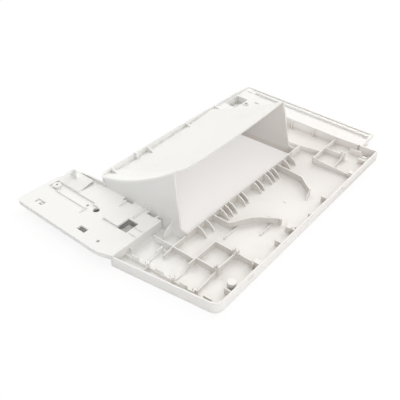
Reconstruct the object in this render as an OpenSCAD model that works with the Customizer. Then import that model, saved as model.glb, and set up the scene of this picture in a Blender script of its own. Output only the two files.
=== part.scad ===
// Top cover of an office printer, moulded in one piece, shown with its outer face down and its ribs up.
// X runs from the front edge to the rear edge, Y along the cover, Z up from the outer face.
// Inside the file, x = 0 is the lip of the paper exit and y = 0 the foot of the bin's near cheek.

/* [Walls] */
// Thickness of the floor, which is the printer's top face
floor_t = 2.5; // [2:0.1:3.5]
// Thickness of the rim, the cheeks and the raised decks
wall_t = 2.2; // [1.6:0.1:3]
// Thickness of the stiffening ribs
rib_t = 1.5; // [1:0.1:2.2]
// Thickness of the fins and of the wings behind the paper exit
fin_t = 1.8; // [1.2:0.1:2.4]

/* [Outline] */
// Length of the cover, from the near edge of the panel seat to the far edge of the far deck
cover_l = 429.5; // [424:0.5:454]
// Distance from the lip to the rear face
rear_x = 92.5; // [88:0.5:110]
// Distance from the lip forward to the front edge of the bin
bin_front = 158; // [150:1:180]
// Distance from the lip forward to the front edge of the panel seat
seat_front = 200; // [194:0.5:220]
// Distance from the near cheek to the near edge of the panel seat
seat_near = 84; // [80:1:100]
// Distance from the near cheek to the near wall, at the panel seat
near_wall = 78; // [74:1:79]
// Angle at which the near wall closes towards the rear
near_taper = 8.5; // [6:0.5:9.5]
// Radius of the corner between the near wall and the rear wall
corner_r = 11; // [6:1:16]
// Distance from the bin's far cheek to the outer face of the far wall
far_bay = 65.3; // [60:0.1:78]

/* [Heights] */
// Height of the rim
rim_h = 13.5; // [12:0.5:16]
// Height of the lip of the paper exit
lip_h = 14; // [12.5:0.5:16]
// Height of the tall stiffening ribs
rib_h = 11; // [8:0.5:12]
// Height of the low rib beside the near wall
low_rib_h = 6; // [5:0.5:8]
// Height of the wings behind the paper exit
wing_h = 12.5; // [10:0.5:14]
// Height of the panel seat
seat_h = 15.4; // [14.5:0.1:18]
// Height of the far deck at the front edge
deck_front_h = 21.5; // [20:0.5:24]
// Height of the far deck at its rear end
deck_rear_h = 12; // [11:0.1:14]
// Depth of the lip that hangs from the free edges of the decks
edge_lip = 5.5; // [3:0.5:7]

/* [Paper bin] */
// Width of the bin's mouth between the cheeks
bin_w = 236; // [226:1:240]
// Lean of the near cheek from the vertical
cheek_lean = 12.4; // [8:0.2:14]
// Height of the crest at its ends
crest_h = 77; // [65:1:85]
// Distance from the lip forward to the crest
crest_back = 29; // [25:1:34]
// Height of the bin sheet's near bend at the front edge
sheet_near_h = 23.5; // [22:0.5:26]
// Height of the bin sheet's far bend at the front edge
sheet_far_h = 21.5; // [20:0.5:24]
// Height of the front skirt's top
skirt_h = 24.8; // [23:0.1:28]
// Radius of the front corner beside the panel seat
front_r = 13; // [8:1:16]
// Distance by which the bin's front edge draws back towards the panel seat
front_bow = 6.5; // [0:0.5:10]
// Sag of the bin sheet under its chord, beside the near cheek
sag_near = 8.8; // [4:0.2:10]
// Sag of the bin sheet under its chord, beside the far cheek
sag_far = 3.5; // [0:0.5:8]
// Dip of the sheet between its two bends
crest_dip = 6.8; // [0:0.2:8]

/* [Panel seat] */
// Distance from the lip forward to the step wall of the panel seat
step_back = 38; // [34:1:42]
// Distance between the two screw holes
screw_pitch = 58.5; // [50:0.5:66]
// Radius of the screw holes
screw_r = 1.6; // [1.2:0.1:2]
// Length of the window along the cover's depth
window_l = 16; // [10:1:18]
// Width of the window
window_w = 19.5; // [14:0.5:22]

/* [Far deck] */
// Distance from the lip forward to the step wall of the far deck
deck_back = 61; // [50:1:66]
// Distance from the lip to the rear end of the far deck
deck_rear = 67; // [60:1:74]

/* [Fins and ribs] */
// Depth of a fin behind the lip
fin_d = 15; // [10:0.5:18]
// Distance from the lip to the first rib line behind it
rib_line_1 = 31; // [28:0.5:34]
// Distance from the lip to the second rib line behind it
rib_line_2 = 59.3; // [56:0.5:64]

/* [Hidden] */

$fn = 48;
OVER = 1;
SEAM = 0.8;
step_x = -step_back;
deck_x = -deck_back;
bin_front_x = -bin_front;
seat_front_x = -seat_front;
crest_x = -crest_back;
bin_far = wall_t + bin_w;
far_wall = bin_far + far_bay;
far_edge = cover_l - seat_near;
lean = tan(cheek_lean);
slope = tan(near_taper);
deck_slope = (deck_front_h - deck_rear_h) / (deck_rear + bin_front);

// The row frame has its origin under the middle of the outline
mid_x = (rear_x - seat_front) / 2;
mid_y = (far_edge - seat_near) / 2;

// Centres of the features that repeat about the middle of the paper path
fin_mid = bin_w / 2 - 0.3;
fin_steps = [13.3, 20.9, 38.4, 46.7, 55.9, 83, 97.3];
wing_step = 69.6;

// Plan helpers: the near wall's line, and the far deck's height
function near_y(x) = -near_wall + (x - step_x) * slope;
function deck_z(x) = deck_front_h - (x - bin_front_x) * deck_slope;
function mix(a, b, t) = a + (b - a) * t;
function arc(c, r, a0, a1, n) = [for (i = [0:n]) c + r * [cos(mix(a0, a1, i / n)), sin(mix(a0, a1, i / n))]];
function unit(v) = v / norm(v);
function left(v) = [-v.y, v.x];
function side(p, i) = left(unit(p[min(i + 1, len(p) - 1)] - p[min(i, len(p) - 2)]));
function inset(p, i, d) =
    let (a = side(p, max(i - 1, 0)), b = side(p, i), m = unit(a + b))
    p[i] + m * d / (m * a);

// A wall of thickness t along the path p, on its left, from z0 to z1
module wall_run(p, t, z0, z1) {
    back = [for (i = [len(p) - 1:-1:0]) inset(p, i, t)];
    translate([0, 0, z0])
        linear_extrude(z1 - z0)
            polygon(concat(p, back));
}

// A straight web of thickness t, from p in the direction a, with the side outline pts of [distance, height]
module web(p, a, t, pts) {
    translate([p.x, p.y, 0])
        rotate([0, 0, a])
            translate([0, t / 2, 0])
                rotate([90, 0, 0])
                    linear_extrude(t)
                        polygon(pts);
}

// A plain rib of height h between two plan points
module rib(p, q, h, t = rib_t) {
    l = norm(q - p);
    web(p, atan2(q.y - p.y, q.x - p.x), t, [[0, SEAM], [l, SEAM], [l, h], [0, h]]);
}

// A rib that falls from h0 at p to h1 at q
module falling_rib(p, q, h0, h1, t = rib_t) {
    l = norm(q - p);
    web(p, atan2(q.y - p.y, q.x - p.x), t, [[0, SEAM], [l, SEAM], [l, h1], [0, h0]]);
}

module box(x0, x1, y0, y1, z0, z1) {
    translate([x0, y0, z0])
        cube([x1 - x0, y1 - y0, z1 - z0]);
}

module drill(x, y, r, z0, z1) {
    translate([x, y, z0])
        cylinder(r = r, h = z1 - z0);
}

// Floor and rim
corner_c = let (cx = rear_x - corner_r) [cx, near_y(cx) + corner_r / cos(near_taper)];
rim_path = concat(
    [[step_x, near_y(step_x)]],
    arc(corner_c, corner_r, near_taper - 90, 0, 8),
    [[rear_x, far_wall], [deck_x, far_wall]]
);

module floor_plate() {
    linear_extrude(floor_t)
        polygon(concat(rim_path, [
            [deck_x, bin_far],
            [-wall_t / 2, bin_far],
            [-wall_t / 2, wall_t / 2],
            [step_x, wall_t / 2]
        ]));
}

module rim() {
    difference() {
        wall_run(rim_path, wall_t, 0, rim_h);
        for (y = [-9, 189])
            box(rear_x - 2 * wall_t, rear_x + OVER, y, y + 10, rim_h - 5.5, rim_h - 3);
    }
}

module lip() {
    box(-wall_t / 2, wall_t / 2, wall_t / 2, bin_far + 10, 0, lip_h);
}

// Bin hood: the lofted sheet between the two cheeks, with its free edges raked to the lip
STATIONS = 16;
ACROSS = 14;
CORNER_R = 2.4;
front_levels = [0, 5, 9, 12, 14.5, 17];
near_levels = [0, lip_h - 1.4, lip_h - 0.5, lip_h + 3.1, lip_h + 18.4, lip_h + 32.2];
near_rake = [0, -0.6, -9.5, -11.8, -15.8, -21.2];
far_levels = [0, lip_h - 2.4, lip_h - 1.9, lip_h + 1, lip_h + 25, lip_h + 42];
far_rake = [0, -0.6, -12.4, -13.8, -19.4, -23.6];

function dip(s) =
    let (turn = 0.17)
    s < turn ? 1 - pow(1 - s / turn, 2) : 1 - pow((s - turn) / (1 - turn), 2.5);
function front_x(s) = bin_front_x + front_bow * pow(1 - s, 1.6);
function sheet_x(u, s) = mix(front_x(s), crest_x, u);
function sheet_z(u, s) =
    mix(mix(sheet_near_h, sheet_far_h, s), crest_h, u)
    - 4 * u * (1 - u) * mix(sag_near, sag_far, s)
    - crest_dip * dip(s);
function near_face(z) = lean * z;

// One cross-section of the hood, skin d below the outer face, from the near foot to the far foot
function section(u, d) =
    let (
        r = d > 0 ? 0.6 : CORNER_R,
        zn = sheet_z(u, 0) - d,
        zf = sheet_z(u, 1) - d,
        xn = sheet_x(u, 0),
        xf = sheet_x(u, 1),
        near = [for (j = [0:len(front_levels) - 1])
            let (z = mix(front_levels[j], near_levels[j], u))
            [mix(front_x(0), near_rake[j], u), near_face(z) + d, z]],
        far = [for (j = [len(front_levels) - 1:-1:0])
            let (z = mix(front_levels[j], far_levels[j], u))
            [mix(front_x(1), far_rake[j], u), bin_far + wall_t - d, z]],
        n0 = near_face(zn) + d,
        f0 = bin_far + wall_t - d,
        near_corner = [
            [xn, near_face(zn - r) + d, zn - r],
            [xn, n0 + 0.3 * r, zn - 0.3 * r]
        ],
        far_corner = [
            [xf, f0 - 0.3 * r, zf - 0.3 * r],
            [xf, f0, zf - r]
        ],
        top = [for (k = [0:ACROSS])
            let (s = k / ACROSS)
            [sheet_x(u, s), mix(n0 + r, f0 - r, s), sheet_z(u, s) - d]]
    )
    concat(near, near_corner, top, far_corner, far);

module hood() {
    n = 2 * len(front_levels) + 4 + ACROSS + 1;
    ring = 2 * n;
    points = [for (i = [0:STATIONS])
        let (outer = section(i / STATIONS, 0), inner = section(i / STATIONS, wall_t))
        each concat(outer, [for (k = [n - 1:-1:0]) inner[k]])];
    sides = [for (i = [0:STATIONS - 1]) for (k = [0:ring - 1])
        let (a = i * ring + k, b = i * ring + (k + 1) % ring)
        each [[a, b, b + ring], [a, b + ring, a + ring]]];
    front = [for (k = [0:n - 2])
        each [[k, ring - 1 - k, k + 1], [k + 1, ring - 1 - k, ring - 2 - k]]];
    e = STATIONS * ring;
    crest = [for (k = [0:n - 2])
        each [[e + k, e + k + 1, e + ring - 1 - k], [e + k + 1, e + ring - 2 - k, e + ring - 1 - k]]];
    polyhedron(points, concat(sides, front, crest));
}

// Front edge of the bin: a skirt with a rounded near corner, its gussets and a clip
skirt_c = [front_x(0) + front_r, near_face(sheet_near_h) + front_r];
skirt_path = concat(
    [for (s = [1:-0.1:0.1]) [front_x(s), mix(skirt_c.y - front_r, bin_far + wall_t, s)]],
    arc(skirt_c, front_r, 180, 270, 9)
);

// What the rounded front corner takes off the square one
module corner_cut() {
    difference() {
        box(bin_front_x - OVER, skirt_c.x, -OVER, skirt_c.y, -OVER, skirt_h + OVER);
        drill(skirt_c.x, skirt_c.y, front_r - wall_t / 2, -2 * OVER, skirt_h + 2 * OVER);
    }
}

module front_edge() {
    base = sheet_near_h - crest_dip - wall_t;
    wall_run(skirt_path, wall_t, base, skirt_h);
    wall_run([for (i = [9:19]) skirt_path[i]], wall_t, 0, base + SEAM);
    translate([bin_front_x, 0, 0])
        rotate([90, 0, 90])
            linear_extrude(wall_t)
                polygon([
                    [bin_far, base], [far_edge - SEAM, base], [far_edge - SEAM, deck_front_h + 0.6],
                    [far_edge - 30, skirt_h], [bin_far, skirt_h]
                ]);
    translate([skirt_c.x - SEAM, 0, 0])
        rotate([90, 0, 90])
            linear_extrude(wall_t)
                polygon([[SEAM, 0], [skirt_c.y - front_r + wall_t, 0], [skirt_c.y - front_r + wall_t, base + 2], [near_face(base) + 1.2, base]]);
    for (y = [28, 95.4, 179.5, bin_far + 11.8])
        web([front_x(min(1, y / bin_far)) + SEAM, y], 0, 3, [
            [0, base],
            [16, base + 2],
            [15.5, base + wall_t + 2.6],
            [6, skirt_h - 1.2],
            [0, skirt_h - 0.6]
        ]);
    box(front_x(0.31) + SEAM, front_x(0.31) + 5.5, 71, 77, base, skirt_h + 0.8);
}

// Fins behind the lip, in two mirrored rows
module fins() {
    for (s = [-1, 1], d = fin_steps)
        web([0, fin_mid + s * d], 0, fin_t, [
            [0, SEAM],
            [fin_d, SEAM],
            [fin_d, floor_t + 0.6],
            [fin_d * 0.78, lip_h * 0.62],
            [fin_d * 0.45, lip_h * 0.9],
            [fin_t, lip_h],
            [0, lip_h]
        ]);
}

// Wings: tall curved webs that guide the paper path
near_wing = let (y = fin_mid - wing_step) [
    [0, y], [12, y - 0.2], [24, y], [28, y + 5], [33.5, y + 15], [39.5, y + 25], [46, y + 31],
    [53.5, y + 36], [67, y + 45.5]
];
far_wing = let (y = fin_mid + wing_step) [
    [63.8, y - 20.5], [41.8, y - 3.1], [19.6, y - 0.2], [0, y + 1]
];

module wings() {
    wall_run(near_wing, fin_t, SEAM, wing_h);
    wall_run(far_wing, fin_t, SEAM, wing_h);
    falling_rib(far_wing[0] + [-0.6, 0], far_wing[0] + [1.8, -12.3], wing_h - 0.5, floor_t + 1, fin_t);
    box(near_wing[8].x - fin_t, near_wing[8].x + 1, near_wing[8].y - 2, near_wing[8].y + 1.5, SEAM, wing_h);
}

// Ribs on the floor between the near wall and the bin
near_rib_y = -21;
low_rib_a = [step_x, -59];
low_rib_b = [rear_x - 9, -52.6];
function low_rib_y(x) = mix(low_rib_a.y, low_rib_b.y, (x - low_rib_a.x) / (low_rib_b.x - low_rib_a.x));

module near_ribs() {
    rib([step_x + 8.6, near_rib_y], [rib_line_1, near_rib_y], rib_h);
    rib([rib_line_1, near_rib_y + 2.8], [rib_line_2 + 0.4, near_rib_y + 2.8], rib_h);
    rib([rib_line_1, 15.4], [rear_x - 8, 15.4], rib_h);
    rib([rib_line_1, -31], [rib_line_1, 15.6], rib_h);
    rib([rib_line_2, -20.2], [rib_line_2, 15.2], rib_h);
    falling_rib([rib_line_2, -18.5], [rib_line_2, low_rib_y(rib_line_2)], rib_h - 1, 4.5);
    rib([0, wall_t], [0, near_rib_y], rib_h);
    falling_rib([0, near_rib_y], [0, near_rib_y - 15.5], rib_h, rib_h - 3);
    stepped_rib(-9.5, near_rib_y - 16);
    stepped_rib(rib_line_1, near_rib_y - 10);
    clip(rib_line_2 + 0.3, near_rib_y + 3.6);
    clip(rib_line_2 + 0.3, 15.2);
    cheek_gusset();
    end_block();
    low_rib();
}

// A rib along Y that steps down in an S before it meets the low rib
module stepped_rib(x, y) {
    l = y - low_rib_y(x);
    web([x, y + 10], -90, rib_t, [
        [0, SEAM], [10 + l, SEAM], [10 + l, 4.2], [18, 4.6], [14, 5.8], [11.5, 7.8], [10, 9.8], [0, 10]
    ]);
}

// A pair of prongs that grips a cable
module clip(x, y) {
    for (s = [-1, 1])
        box(x + s * 2.4 - 0.7, x + s * 2.4 + 0.7, y - 2.2, y + 2.2, SEAM, rib_h + 5);
    box(x - 2.6, x + 2.6, y - 2.2, y - 0.8, SEAM, rib_h + 1);
}

// The tapered web that stays the near cheek
module cheek_gusset() {
    top = 16.8;
    web([-22.5, near_face(top) + 1.2], -90, rib_t, [
        [0, SEAM], [19, SEAM], [18.5, 6], [14, 11.5], [8.5, 15.4], [3.4, 17.6], [0, 18.4]
    ]);
}

module end_block() {
    box(rear_x - 10.5, rear_x - wall_t / 2, 14, 21, SEAM, rib_h + 2.2);
    box(rear_x - 10.5, rear_x - 8, 12, 24, SEAM, rib_h + 1);
}

// The low rib beside the near wall, with its crenels, posts and the short ribs to the wall
module low_rib() {
    span = low_rib_b - low_rib_a;
    l = norm(span);
    top = low_rib_h + 4;
    web(low_rib_a, atan2(span.y, span.x), rib_t, concat(
        [[0, SEAM], [l, SEAM], [l, low_rib_h]],
        [for (x = [75.2, 44.7, 12.9, -21.3])
            let (d = (x - low_rib_a.x) * l / span.x)
            each [[d + 5, low_rib_h], [d + 5, top], [d - 5, top], [d - 5, low_rib_h]]],
        [[0, low_rib_h]]
    ));
    for (x = [-3.4, rib_line_1 - 0.6, rib_line_2 + 0.5]) {
        rib([x, near_y(x) + 1], [x, low_rib_y(x)], low_rib_h);
        box(x - 0.9, x + 0.9, low_rib_y(x) - 3, low_rib_y(x) + 3, SEAM, low_rib_h + 5.5);
        box(x - 3, x + 3, low_rib_y(x) - 0.9, low_rib_y(x) + 0.9, SEAM, low_rib_h + 5.5);
    }
}

// Low ribs on the floor in line with the two rib lines
module floor_ribs() {
    rib([rib_line_1, 31], [rib_line_1, fin_mid - wing_step + 11], floor_t + 2.5);
    rib([rib_line_2, 62], [rib_line_2, fin_mid - wing_step + 39.5], floor_t + 2.5);
    for (y = [99, 135])
        drill(47, y, 1.8, SEAM, floor_t + 0.5);
}

// Webs and posts on the rear wall
module rear_webs() {
    for (y = [-33, 60, 165])
        rib([rear_x - 11.5, y], [rear_x - 1, y], rib_h, 2);
    rib([rear_x - 7, 126], [rear_x - 1, 126], rib_h - 1, 2);
    drill(rear_x - 9, -24.5, 5, SEAM, rib_h + 3.6);
    rib([rear_x - 9, -24.5], [rear_x - 1, -24.5], rib_h, 4);
    drill(rear_x - 12, 89.6, 3.6, SEAM, rib_h);
    rib([rear_x - 12, 89.6], [rear_x - 1, 89.6], rib_h - 1, 3);
    box(rear_x - 17, rear_x - 6, 92, 96.5, SEAM, rib_h - 1.5);
}

// Ribs on the floor between the bin and the far wall
module far_ribs() {
    near = bin_far - 3.7;
    mid = bin_far + 29.8;
    line = bin_far + 15.8;
    wall_run([[rib_line_1 - 2, line + 5.5], [-4, line], [deck_x + wall_t, line]], rib_t, SEAM, rib_h - 1);
    rib([rib_line_1 - 2.5, near + 1.5], [rib_line_1 - 2.5, far_wall - 1], rib_h);
    rib([rib_line_1 - 2.5, mid + 1.5], [rib_line_2 - 2, mid], rib_h);
    falling_rib([rib_line_1 - 1, near], [rear_x - 8, near], rib_h + 0.6, 7.4);
    falling_rib([rib_line_2 - 2, mid], [rib_line_2 - 2, mid - 25], rib_h - 1, 4);
    rib([rib_line_2 - 2.3, far_wall - 13], [rear_x - 19, far_wall - 13], rib_h);
    clip(rib_line_2 - 1.8, mid);
    box(rear_x - 9.5, rear_x - 1.4, near - 2.5, near + 4, SEAM, rib_h + 0.7);
    box(rear_x - 16, rear_x - 1, mid + 7, mid + 9, SEAM, rib_h - 2);
    for (x = [-45, -8])
        box(x, x + rib_t, far_wall - wall_t - 3.5, far_wall - 1, SEAM, deck_z(x) - 1);
}

// A bar that follows the slope of the far deck, from h0 to h1 above its top face
module deck_bar(x0, x1, y0, y1, h0, h1) {
    translate([0, y1, 0])
        rotate([90, 0, 0])
            linear_extrude(y1 - y0)
                polygon([
                    [x0, deck_z(x0) + h0], [x1, deck_z(x1) + h0], [x1, deck_z(x1) + h1], [x0, deck_z(x0) + h1]
                ]);
}

// Plan of the deck's pocket, its round hole and the distances of the deck's lines from its edge
pocket_x0 = bin_front_x + 5;
pocket_x1 = pocket_x0 + 21;
pocket_y0 = bin_far + 33;
pocket_y1 = pocket_y0 + 34;
deck_hole = [pocket_x1 + 6.5, pocket_y0 + 19.8];
line_1 = 4.6;
line_2 = 12.8;
line_3 = 20.7;

// The deck's plate with the lip that hangs from its free edges
module deck_shell() {
    difference() {
        deck_bar(bin_front_x, deck_rear, bin_far + SEAM, far_edge, -edge_lip, 0);
        deck_bar(bin_front_x + wall_t, deck_rear - wall_t, bin_far, far_edge - wall_t, -edge_lip - OVER, -wall_t);
        box(deck_x + wall_t, deck_rear + OVER, bin_far, far_wall - wall_t, 0, deck_front_h + OVER);
    }
}

module far_deck() {
    difference() {
        union() {
            deck_shell();
            deck_bar(bin_front_x + 24, deck_rear - 3, far_edge - line_2 - 0.9, far_edge - line_2 + 0.9, -1, 1.6);
            deck_bar(bin_front_x + 5, deck_rear - 4, far_edge - line_1 + 0.9, far_edge - SEAM, -1, 0.7);
        }
        deck_bar(bin_front_x + 12, deck_rear - 6, far_edge - line_1 - 0.9, far_edge - line_1 + 0.9, -1.4, OVER);
        deck_bar(bin_front_x + 34, deck_rear - 2, far_edge - line_3, far_edge - line_2 - 2.4, -1.1, OVER);
        for (x = [9, 22])
            deck_bar(bin_front_x + x, bin_front_x + x + 9, far_edge - line_3 + 4, far_edge - line_3 + 6, -1.6, OVER);
        deck_bar(pocket_x1 + 13, pocket_x1 + 21, pocket_y1 - 0.7, pocket_y1 + 1.8, -wall_t - OVER, OVER);
        deck_bar(deck_rear - 9, deck_rear - 5, far_edge - line_3 + 1, far_edge - line_2 - 3.4, -wall_t - OVER, OVER);
        drill(deck_hole.x, deck_hole.y, 2.7, 0, deck_front_h + OVER);
        box(pocket_x0, pocket_x1, pocket_y0, pocket_y1, 0, deck_front_h + OVER);
    }
    deck_pocket();
}

module deck_walls() {
    translate([0, far_wall, 0])
        rotate([90, 0, 0])
            linear_extrude(wall_t)
                polygon([
                    [deck_x, 0], [deck_rear, 0], [deck_rear, deck_z(deck_rear) - SEAM], [deck_x, deck_z(deck_x) - SEAM]
                ]);
    box(deck_x, deck_x + wall_t, bin_far + SEAM, far_wall - SEAM, 0, deck_z(deck_x) - wall_t + SEAM);
}

// The open pocket in the far deck, with upright bars on its front side
module deck_pocket() {
    depth = 13;
    skin = 1.5;
    difference() {
        deck_bar(pocket_x0 - skin, pocket_x1 + skin, pocket_y0 - skin, pocket_y1 + skin, -depth, -SEAM);
        deck_bar(pocket_x0, pocket_x1, pocket_y0, pocket_y1, -depth + skin, OVER);
    }
    for (y = [10, 16, 22, 28])
        deck_bar(pocket_x0 - SEAM, pocket_x0 + 2.2, pocket_y0 + y, pocket_y0 + y + 1.8, SEAM - depth, -5.5);
    difference() {
        drill(deck_hole.x, deck_hole.y, 4.4, deck_z(deck_hole.x) - wall_t, deck_z(deck_hole.x) + 1.5);
        drill(deck_hole.x, deck_hole.y, 2.7, 0, deck_front_h + 2 * OVER);
    }
}

// Panel seat: a raised deck with a hanging edge lip
seat_bend = [step_x - 24, -seat_near + 0.3];
seat_path = concat(
    [[skirt_c.x + 2, near_face(seat_h) + 1.4], [bin_front_x - 4.5, 3.5], [bin_front_x - 16, 2.4]],
    [[seat_front_x + 16.5, -0.4], [seat_front_x + 10, -4], [seat_front_x + 5.3, -10], [seat_front_x + 2, -20]],
    [[seat_front_x + 0.4, -32], [seat_front_x, -44]],
    arc([seat_front_x + 6, -seat_near + 6], 6, 180, 270, 6),
    [seat_bend],
    [for (t = [0.25:0.25:1]) [mix(seat_bend.x, step_x, t), mix(seat_bend.y, near_y(step_x), pow(t, 1.8))]],
    [[step_x + SEAM, near_y(step_x + SEAM)]]
);
seat_z = seat_h - wall_t;
channel_y = -35;
channel_d = 1.8;
screw_x = seat_front_x + 15.5;
window_x = -60;
window_y = -32;

module seat() {
    difference() {
        union() {
            translate([0, 0, seat_z])
                linear_extrude(wall_t)
                    polygon(concat(seat_path, [
                        [step_x + wall_t, near_y(step_x) + wall_t / 2],
                        [step_x + wall_t, near_face(seat_z) + SEAM]
                    ]));
            wall_run(seat_path, wall_t, seat_h - edge_lip, seat_h);
            box(step_x, step_x + wall_t, near_y(step_x) + wall_t / 2, wall_t, 0, seat_h);
            seat_raised();
        }
        seat_cuts();
    }
    snap_tongue();
    window_pocket();
    ramp_pad();
    corner_wall();
}

// What stands on the seat: the screw boss, thin ribs and small gussets
module seat_raised() {
    box(seat_front_x + 5, screw_x + screw_pitch + 7, channel_y - 8, channel_y + 8.8, seat_z - channel_d, seat_h - SEAM);
    drill(screw_x, channel_y, 5.5, seat_z - 3, seat_h + 2);
    drill(screw_x + screw_pitch, channel_y, 3, seat_z - 3, seat_h - SEAM);
    rib_at(-90, window_x - window_l / 2, -40.6, 2);
    drill(-90, -40.6, 1.6, seat_z, seat_h + 2.4);
    web([-64.3, near_face(seat_h) + 1], -90, rib_t, [
        [0, seat_z], [23, seat_z], [23, seat_h + 2.2], [3.4, seat_h + 2.6], [2.2, seat_h + 6], [0, seat_h + 6.4]
    ]);
    web([-93, -2], -90, rib_t, [[0, seat_z], [12, seat_z], [12, seat_h + 0.6], [3, seat_h + 3.4], [0, seat_h + 3.4]]);
    web([-120.5, channel_y - 5], -90, rib_t, [[0, seat_z], [12, seat_z], [12, seat_h + 0.4], [0, seat_h + 2.6]]);
    rib_at(-119, -112, channel_y + 3.5, 1.6);
    rib_at(screw_x + 7, screw_x + screw_pitch + 4, channel_y - 7.2, 0.9);
}

module rib_at(x0, x1, y, h) {
    box(x0, x1, y - rib_t / 2, y + rib_t / 2, seat_z, seat_h + h);
}

// Holes, slots and the sunk channel of the seat
module seat_cuts() {
    difference() {
        box(seat_front_x + 7, screw_x + screw_pitch + 5, channel_y - 6.3, channel_y + 7.1, seat_h - channel_d, seat_h + 3);
        drill(screw_x, channel_y, 5.5, seat_z, seat_h + 4);
    }
    for (x = [screw_x, screw_x + screw_pitch])
        drill(x, channel_y, screw_r, 0, seat_h + 4);
    drill(-66, -71, 2, 0, seat_h + OVER);
    drill(-109, channel_y - 1, 4.2, 0, seat_h + OVER);
    box(-180, -167, -72, -65.5, 0, seat_h + OVER);
    box(-101, -88.5, -72, -65.2, 0, seat_h + OVER);
    window_y1 = window_y + window_w / 2;
    box(window_x - window_l / 2, window_x + window_l / 2, window_y - window_w / 2, window_y1, 0, seat_h + OVER);
    box(-100, -84.5, -1, 6, 0, seat_h + OVER);
    box(-58.5, -46, -2.2, 6, 0, seat_h + OVER);
    box(step_x - 5, step_x + wall_t + OVER, -0.8, 6, floor_t + SEAM, seat_h + OVER);
    translate([step_x + wall_t - 1.3, -54.5, 0])
        rotate([90, 0, 90])
            linear_extrude(wall_t + OVER)
                union() {
                    translate([-3.2, floor_t])
                        square([6.4, 4.5]);
                    translate([0, floor_t + 4.5])
                        circle(r = 3.2);
                }
}

// The pocket that hangs under the window, open towards the front and the bin
module window_pocket() {
    x1 = window_x + window_l / 2;
    y0 = window_y - window_w / 2;
    z0 = seat_z - 4.4;
    box(x1 - 12.5, x1 + rib_t, y0 - rib_t, y0 + 16, z0, z0 + rib_t);
    box(x1 - 12.5, x1 + rib_t, y0 - rib_t, y0, z0, seat_z + SEAM);
    box(x1, x1 + rib_t, y0 - rib_t, y0 + 16, z0, seat_z + SEAM);
}

module snap_tongue() {
    x1 = window_x + window_l / 2;
    box(-172, -167 + SEAM, -70, -68.4, seat_z, seat_h);
    box(x1 + 3, step_x - 1, window_y - 8.8, window_y - 7.6, seat_z, seat_h + 0.9);
    box(x1 + 1, step_x - 1, window_y + 2.2, window_y + 3.4, seat_z, seat_h + 0.9);
}

// The ramp beside the channel: a thin skin that rises towards the bin, open at its rear end
module ramp_pad() {
    x0 = seat_front_x + 7;
    x1 = screw_x + 32;
    y0 = channel_y + 8;
    l = -2 - y0;
    translate([0, y0, 0])
        rotate([90, 0, 90])
            difference() {
                translate([0, 0, x0])
                    linear_extrude(x1 - x0)
                        polygon([[0, seat_h - 1.4], [l, seat_h - 1.4], [l, seat_h + 5], [0, seat_h + 0.5]]);
                translate([0, 0, x1 - 3.5])
                    linear_extrude(x1 - x0)
                        polygon([[7, seat_h], [l - rib_t, seat_h], [l - rib_t, seat_h + 3.4], [7, seat_h + 0.6]]);
            }
}

// The low upstand at the front corner of the seat, and the post with its gusset beside it
post = [seat_front_x + 23.5, -10.8];

module corner_wall() {
    wall_run([for (i = [0:3]) seat_path[i]], wall_t, seat_z, seat_h + 4.4);
    box(post.x - 1, post.x + 1, post.y - 0.8, post.y + 0.8, seat_z, seat_h + 15.5);
    web(post, 180, rib_t, [[0, seat_z], [14, seat_z], [14, seat_h + 0.4], [1.6, seat_h + 13], [0, seat_h + 13]]);
}

module cover_plate() {
    color([0.94, 0.94, 0.93])
        translate([-mid_x, -mid_y, 0])
            difference() {
                union() {
                    floor_plate();
                    rim();
                    lip();
                    difference() {
                        hood();
                        corner_cut();
                    }
                    front_edge();
                    fins();
                    wings();
                    near_ribs();
                    floor_ribs();
                    rear_webs();
                    far_ribs();
                    far_deck();
                    deck_walls();
                    seat();
                }
                box(deck_rear - 4.4, deck_rear - 0.9, far_wall - wall_t - OVER, far_wall + 1.4, rib_h / 2, seat_h);
                box(rear_x - 18.3, rear_x - 11.5, far_wall - 10.5, far_wall - 3.1, -OVER, floor_t + OVER);
            }
}

cover_plate();
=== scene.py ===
import bpy
from mathutils import Matrix, Vector

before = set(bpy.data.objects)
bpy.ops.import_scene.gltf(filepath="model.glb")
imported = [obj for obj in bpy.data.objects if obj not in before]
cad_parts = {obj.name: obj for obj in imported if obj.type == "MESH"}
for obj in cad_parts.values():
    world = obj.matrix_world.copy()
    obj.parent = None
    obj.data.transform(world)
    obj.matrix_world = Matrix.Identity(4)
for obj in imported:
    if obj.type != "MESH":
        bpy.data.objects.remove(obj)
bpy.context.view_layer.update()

WHITE = (1, 1, 1, 1)

# Camera, from the photograph's two vanishing points
CAMERA_PLACE = (0.33805, -0.44555, 0.390)
CAMERA_RIGHT = (0.7686, 0.6397, -0.0018)
CAMERA_FORWARD = (-0.5072, 0.6076, -0.6112)
SENSOR_MM = 36
LENS_MM = 45.31
CLIP_START = 0.01

# World: a dome of light that is weaker on the near side
DOME = 0.685
DOME_TILT = (-0.145, 0.551, 0.0)
DOME_COLOUR = (1.0, 0.995, 0.985, 1)

# Soft square lamps: name, place, size, power, colour
LAMPS = (
    ("camera_side", (1.15, -1.15, 0.9), 1.0, 10.6, (0.94, 0.95, 1.0)),
    ("bin_side", (-1.0, 0.15, 1.55), 1.2, 7.5, (1, 1, 1)),
    ("far_side", (0.1, 1.5, 1.1), 1.2, 7.8, (1, 1, 1)),
)
LAMP_TARGET = (0, 0, 0.01)

# Floor: white paper just below the part. The rays that show the background see a share of it as
# plain white, and its own colour keeps the part's soft shadow.
FLOOR_HALF = 6
FLOOR_Z = -0.0002
FLOOR_COLOUR = (1, 0.995, 0.985, 1)
# Painted warm bounce light: the floor under the bin is tinted warm, as if lit by light thrown from
# the plastic
BIN_FLOOR_BOUNCE_TINT = (1, 0.925, 0.875, 1)
WHITE_SHARE = 0.86
BIN_SHARE_CHANGE = -0.34
WHITEN_SPAN = (0.5, 2.0)  # distances over which the share grows to 1
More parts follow.
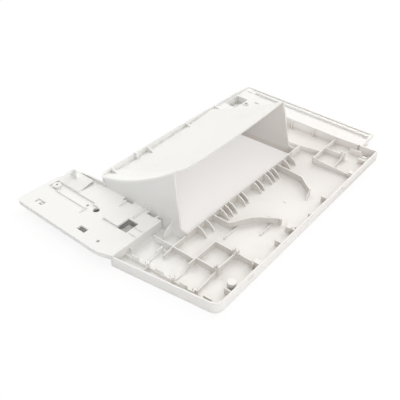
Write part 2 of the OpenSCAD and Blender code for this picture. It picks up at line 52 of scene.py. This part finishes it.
# Places on the floor: centre and half size
UNDER_SEAT = ((-0.068, -0.170), (0.070, 0.034))
UNDER_DECK = ((0.005, 0.170), (0.115, 0.034))
UNDER_BIN = ((-0.020, -0.010), (0.080, 0.120))

# Plastic: noises are given by scale and detail, ramps by stops
NOISE_MIDDLE = 0.5
FRONT_TONE = (0.847, 0.844, 0.820)
AGED_TONE = (0.862, 0.838, 0.805)
AGE_SPAN_X = (-0.02, 0.08)
AGE_PER_Y = 1.2
CLOUD_NOISE = (9.0, 3.0)
CLOUD_DRIFT = 0.9
# Painted shade: the low floor darker towards the far side
FAR_SHADE_TONE = (0.78, 0.75, 0.715, 1)
FAR_SHADE_SPAN_Y = (0.0, 0.09)
FAR_SHADE_SPAN_Z = (0.009, 0.005)
SCUFF_NOISE = (22.0, 5.0)
SCUFF_STOPS = ((0.56, (1, 1, 1)), (0.82, (0.955, 0.95, 0.94)))
EDGE_RADIUS = 0.0007
EDGE_SAMPLES = 6
EDGE_SPAN = (0.985, 0.80)  # cosine between the rounded and the flat face
# Painted highlight: a lighter tone along the edges
EDGE_HIGHLIGHT_TONE = (0.905, 0.90, 0.885, 1)
EDGE_HIGHLIGHT_SHARE = 0.6
EDGE_POLISH = 0.15
STEEP_BELOW = 0.5  # share of a steep face's normal along Z
# Painted shade: darker tones in the creases and on steep faces
CREASE_SHADE_REACH = 0.009
CREASE_SHADE_SAMPLES = 16
CREASE_SHADE_STOPS = ((0.05, (0.80, 0.785, 0.76)), (0.42, (0.945, 0.935, 0.92)), (0.68, (1, 1, 1)))
CREASE_SHADE_ANYWHERE = 0.3
CREASE_SHADE_IF_STEEP = 0.7
# Painted shade on the steep faces in the tray and on the step beside the seat
WALL_SHADE_TONE = (0.82, 0.81, 0.79, 1)
STEP_SHADE_SHARE = 0.45
# Painted shade on the floor of the pocket under the seat's window
POCKET_SHADE_NOISE = (160.0, 4.0)
POCKET_SHADE_STOPS = ((0.3, (0.36, 0.365, 0.335)), (0.7, (0.50, 0.505, 0.465)))
GRAIN_NOISE = (1400.0, 2.0)
GRAIN_STRENGTH = 0.12
GRAIN_HEIGHT = 0.0003
GLOSS_NOISE = (35.0, 3.0)
GLOSS_SPAN = (0.3, 0.7)
ROUGHNESS = (0.5, 0.6)
SPECULAR = 0.35
# Places in the part: centre and half size
TRAY = ((0.0975, -0.0460, 0.0092), (0.0460, 0.1400, 0.0058))
STEP = ((0.0140, -0.1715, 0.0092), (0.0045, 0.0400, 0.0058))
POCKET = ((-0.0040, -0.1650, 0.0096), (0.0078, 0.0102, 0.0012))


# Nodes
def feed(tree, socket, value):
    """Link the socket to an output, or give it a plain value."""
    if isinstance(value, bpy.types.NodeSocket):
        tree.links.new(value, socket)
    else:
        socket.default_value = value


def add_node(tree, kind, inputs=None, **settings):
    """Add a node, with its inputs by name or number and its settings by name."""
    node = tree.nodes.new(kind)
    for name, value in settings.items():
        setattr(node, name, value)
    for name, value in (inputs or {}).items():
        feed(tree, node.inputs[name], value)
    return node


def calc(tree, operation, *values):
    node = add_node(tree, "ShaderNodeMath", dict(enumerate(values)), operation=operation)
    return node.outputs[0]


def dot(tree, a, b):
    node = add_node(tree, "ShaderNodeVectorMath", {0: a, 1: b}, operation="DOT_PRODUCT")
    return node.outputs["Value"]


def separate(tree, vector):
    return add_node(tree, "ShaderNodeSeparateXYZ", {0: vector}).outputs


def map_range(tree, value, span, to=(0.0, 1.0)):
    """Map the span to another one, and keep the result within it."""
    node = add_node(tree, "ShaderNodeMapRange", {
        "Value": value,
        "From Min": span[0],
        "From Max": span[1],
        "To Min": to[0],
        "To Max": to[1],
    })
    return node.outputs["Result"]


def noise(tree, place, scale, detail):
    inputs = {"Vector": place, "Scale": scale, "Detail": detail}
    return add_node(tree, "ShaderNodeTexNoise", inputs).outputs["Fac"]


def ramp(tree, value, stops):
    node = add_node(tree, "ShaderNodeValToRGB", {"Fac": value})
    elements = node.color_ramp.elements
    while len(elements) < len(stops):
        elements.new(0.5)
    for element, (position, colour) in zip(elements, stops):
        element.position = position
        element.color = (*colour, 1)
    return node.outputs["Color"]


def mix_colours(tree, factor, a, b, blend_type="MIX"):
    inputs = {"Factor": factor, "A": a, "B": b}
    node = add_node(tree, "ShaderNodeMix", inputs, data_type="RGBA", blend_type=blend_type)
    return node.outputs["Result"]


def within(tree, place, box):
    """1 inside a box of the object's own coordinates and 0 outside it."""
    inside = 1.0
    for axis, centre, half in zip("XYZ", *box):
        inside = calc(tree, "MULTIPLY", inside, calc(tree, "COMPARE", place[axis], centre, half))
    return inside


def background_rays(tree):
    """1 for the rays that show the white background: camera, glossy and transmission rays."""
    path = add_node(tree, "ShaderNodeLightPath").outputs
    rays = calc(tree, "ADD", path["Is Camera Ray"], path["Is Glossy Ray"])
    rays = calc(tree, "ADD", rays, path["Is Transmission Ray"])
    return calc(tree, "MINIMUM", rays, 1.0)


def send_mix(tree, output, factor, a, b):
    """Mix two shader nodes and send them to the tree's output."""
    mix = add_node(tree, "ShaderNodeMixShader", {0: factor, 1: a.outputs[0], 2: b.outputs[0]})
    add_node(tree, output, {0: mix.outputs[0]})


# Studio
def aim(obj, target):
    obj.rotation_euler = (Vector(target) - obj.location).to_track_quat("-Z", "Y").to_euler()


def make_camera():
    camera = bpy.data.objects.new("camera", bpy.data.cameras.new("camera"))
    scene.collection.objects.link(camera)
    forward = Vector(CAMERA_FORWARD).normalized()
    up = Vector(CAMERA_RIGHT).cross(forward).normalized()
    right = forward.cross(up)
    turn = Matrix((right, up, -forward)).transposed().to_4x4()
    camera.matrix_world = Matrix.Translation(CAMERA_PLACE) @ turn
    camera.data.sensor_width = SENSOR_MM
    camera.data.lens = LENS_MM
    camera.data.clip_start = CLIP_START
    scene.camera = camera


def make_world():
    world = bpy.data.worlds.new("studio")
    world.use_nodes = True
    tree = world.node_tree
    tree.nodes.clear()
    direction = add_node(tree, "ShaderNodeTexCoord").outputs["Generated"]
    strength = calc(tree, "ADD", dot(tree, direction, DOME_TILT), DOME)
    light = add_node(tree, "ShaderNodeBackground", {"Color": DOME_COLOUR, "Strength": strength})
    plain = add_node(tree, "ShaderNodeBackground", {"Color": WHITE, "Strength": 1.0})
    send_mix(tree, "ShaderNodeOutputWorld", background_rays(tree), light, plain)
    scene.world = world


def add_lamp(name, place, size, power, colour):
    lamp = bpy.data.lights.new(name, "AREA")
    lamp.shape = "SQUARE"
    lamp.size = size
    lamp.energy = power
    lamp.color = colour
    obj = bpy.data.objects.new(name, lamp)
    scene.collection.objects.link(obj)
    obj.location = place
    aim(obj, LAMP_TARGET)


def white_paper():
    """The floor's material. It has none of the plain white under the seat and the far deck."""
    mat = bpy.data.materials.new("floor")
    mat.use_nodes = True
    tree = mat.node_tree
    tree.nodes.clear()
    coords = add_node(tree, "ShaderNodeTexCoord").outputs["Object"]
    place = separate(tree, coords)
    in_bin = within(tree, place, UNDER_BIN)
    covered = calc(tree, "ADD", within(tree, place, UNDER_SEAT), within(tree, place, UNDER_DECK))
    reach = add_node(tree, "ShaderNodeVectorMath", {0: coords}, operation="LENGTH")
    share = map_range(tree, reach.outputs["Value"], WHITEN_SPAN, (WHITE_SHARE, 1.0))
    share = calc(tree, "MULTIPLY", calc(tree, "SUBTRACT", 1.0, covered), share)
    share = calc(tree, "ADD", share, calc(tree, "MULTIPLY", in_bin, BIN_SHARE_CHANGE))
    share = calc(tree, "MULTIPLY", background_rays(tree), share)
    # Painted warm bounce light on the floor under the bin
    colour = mix_colours(tree, in_bin, FLOOR_COLOUR, BIN_FLOOR_BOUNCE_TINT)
    diffuse = add_node(tree, "ShaderNodeBsdfDiffuse", {"Color": colour})
    plain = add_node(tree, "ShaderNodeEmission", {"Color": WHITE, "Strength": 1.0})
    send_mix(tree, "ShaderNodeOutputMaterial", share, diffuse, plain)
    return mat


def make_floor():
    corners = [(x * FLOOR_HALF, y * FLOOR_HALF, 0) for x, y in ((-1, -1), (1, -1), (1, 1), (-1, 1))]
    mesh = bpy.data.meshes.new("floor")
    mesh.from_pydata(corners, [], [(0, 1, 2, 3)])
    mesh.materials.append(white_paper())
    floor = bpy.data.objects.new("floor", mesh)
    scene.collection.objects.link(floor)
    floor.location.z = FLOOR_Z


# Part
def moulded_plastic():
    """White plastic, neutral at the front and aged to a warmer white behind the paper exit."""
    mat = bpy.data.materials.new("white_plastic")
    mat.use_nodes = True
    tree = mat.node_tree
    shader = tree.nodes["Principled BSDF"]
    coords = add_node(tree, "ShaderNodeTexCoord").outputs["Object"]
    place = separate(tree, coords)
    flat = add_node(tree, "ShaderNodeNewGeometry").outputs["Normal"]
    bevel = add_node(tree, "ShaderNodeBevel", {"Radius": EDGE_RADIUS}, samples=EDGE_SAMPLES)
    rounded = bevel.outputs["Normal"]
    edge = map_range(tree, dot(tree, rounded, flat), EDGE_SPAN)
    steep = calc(tree, "LESS_THAN", calc(tree, "ABSOLUTE", separate(tree, flat)["Z"]), STEEP_BELOW)

    # Age: along X and a little along Y, broken up by a soft cloud
    cloud = calc(tree, "SUBTRACT", noise(tree, coords, *CLOUD_NOISE), NOISE_MIDDLE)
    drift = calc(tree, "MULTIPLY", cloud, CLOUD_DRIFT)
    sideways = calc(tree, "MULTIPLY", place["Y"], AGE_PER_Y)
    age = calc(tree, "ADD", drift, sideways)
    age = calc(tree, "ADD", map_range(tree, place["X"], AGE_SPAN_X), age)
    body = ramp(tree, age, ((0.0, FRONT_TONE), (1.0, AGED_TONE)))

    # Painted shade: the low floor darker towards the far side
    far = map_range(tree, place["Y"], FAR_SHADE_SPAN_Y)
    low = map_range(tree, place["Z"], FAR_SHADE_SPAN_Z)
    body = mix_colours(tree, calc(tree, "MULTIPLY", far, low), body, FAR_SHADE_TONE)

    # Scuffs: faint darker patches
    scuffs = ramp(tree, noise(tree, coords, *SCUFF_NOISE), SCUFF_STOPS)
    body = mix_colours(tree, 1.0, body, scuffs, "MULTIPLY")

    # Painted highlight: the edges lighter
    body = mix_colours(tree, calc(tree, "MULTIPLY", edge, EDGE_HIGHLIGHT_SHARE), body, EDGE_HIGHLIGHT_TONE)

    # Painted shade: darker in the creases, most of it on steep faces
    inputs = {"Distance": CREASE_SHADE_REACH}
    crease = add_node(tree, "ShaderNodeAmbientOcclusion", inputs, samples=CREASE_SHADE_SAMPLES)
    crease_shade = ramp(tree, crease.outputs["AO"], CREASE_SHADE_STOPS)
    amount = calc(tree, "ADD", calc(tree, "MULTIPLY", steep, CREASE_SHADE_IF_STEEP), CREASE_SHADE_ANYWHERE)
    body = mix_colours(tree, amount, body, crease_shade, "MULTIPLY")

    # Painted shade: the steep faces behind the lip darker, and less so on the step beside the seat
    step = calc(tree, "MULTIPLY", within(tree, place, STEP), STEP_SHADE_SHARE)
    shaded_walls = calc(tree, "ADD", within(tree, place, TRAY), step)
    shaded_walls = calc(tree, "MULTIPLY", steep, shaded_walls)
    body = mix_colours(tree, shaded_walls, body, WALL_SHADE_TONE, "MULTIPLY")

    # Painted shade: the floor of the pocket under the seat's window painted dark
    pocket_shade = ramp(tree, noise(tree, coords, *POCKET_SHADE_NOISE), POCKET_SHADE_STOPS)
    body = mix_colours(tree, within(tree, place, POCKET), body, pocket_shade)
    feed(tree, shader.inputs["Base Color"], body)

    # Fine grain, over edges that are softly rounded
    grain = add_node(tree, "ShaderNodeBump", {
        "Strength": GRAIN_STRENGTH,
        "Distance": GRAIN_HEIGHT,
        "Height": noise(tree, coords, *GRAIN_NOISE),
        "Normal": rounded,
    })
    feed(tree, shader.inputs["Normal"], grain.outputs["Normal"])

    # Gloss: a little smoother in places and at the edges, where hands have polished it
    gloss = map_range(tree, noise(tree, coords, *GLOSS_NOISE), GLOSS_SPAN, ROUGHNESS)
    gloss = calc(tree, "SUBTRACT", gloss, calc(tree, "MULTIPLY", edge, EDGE_POLISH))
    feed(tree, shader.inputs["Roughness"], gloss)
    feed(tree, shader.inputs["Specular IOR Level"], SPECULAR)
    return mat


scene = bpy.context.scene
scene.view_settings.view_transform = "Standard"
make_camera()
make_world()
for settings in LAMPS:
    add_lamp(*settings)
make_floor()

plastic = moulded_plastic()
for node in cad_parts.values():
    node.data.materials.clear()
    node.data.materials.append(plastic)
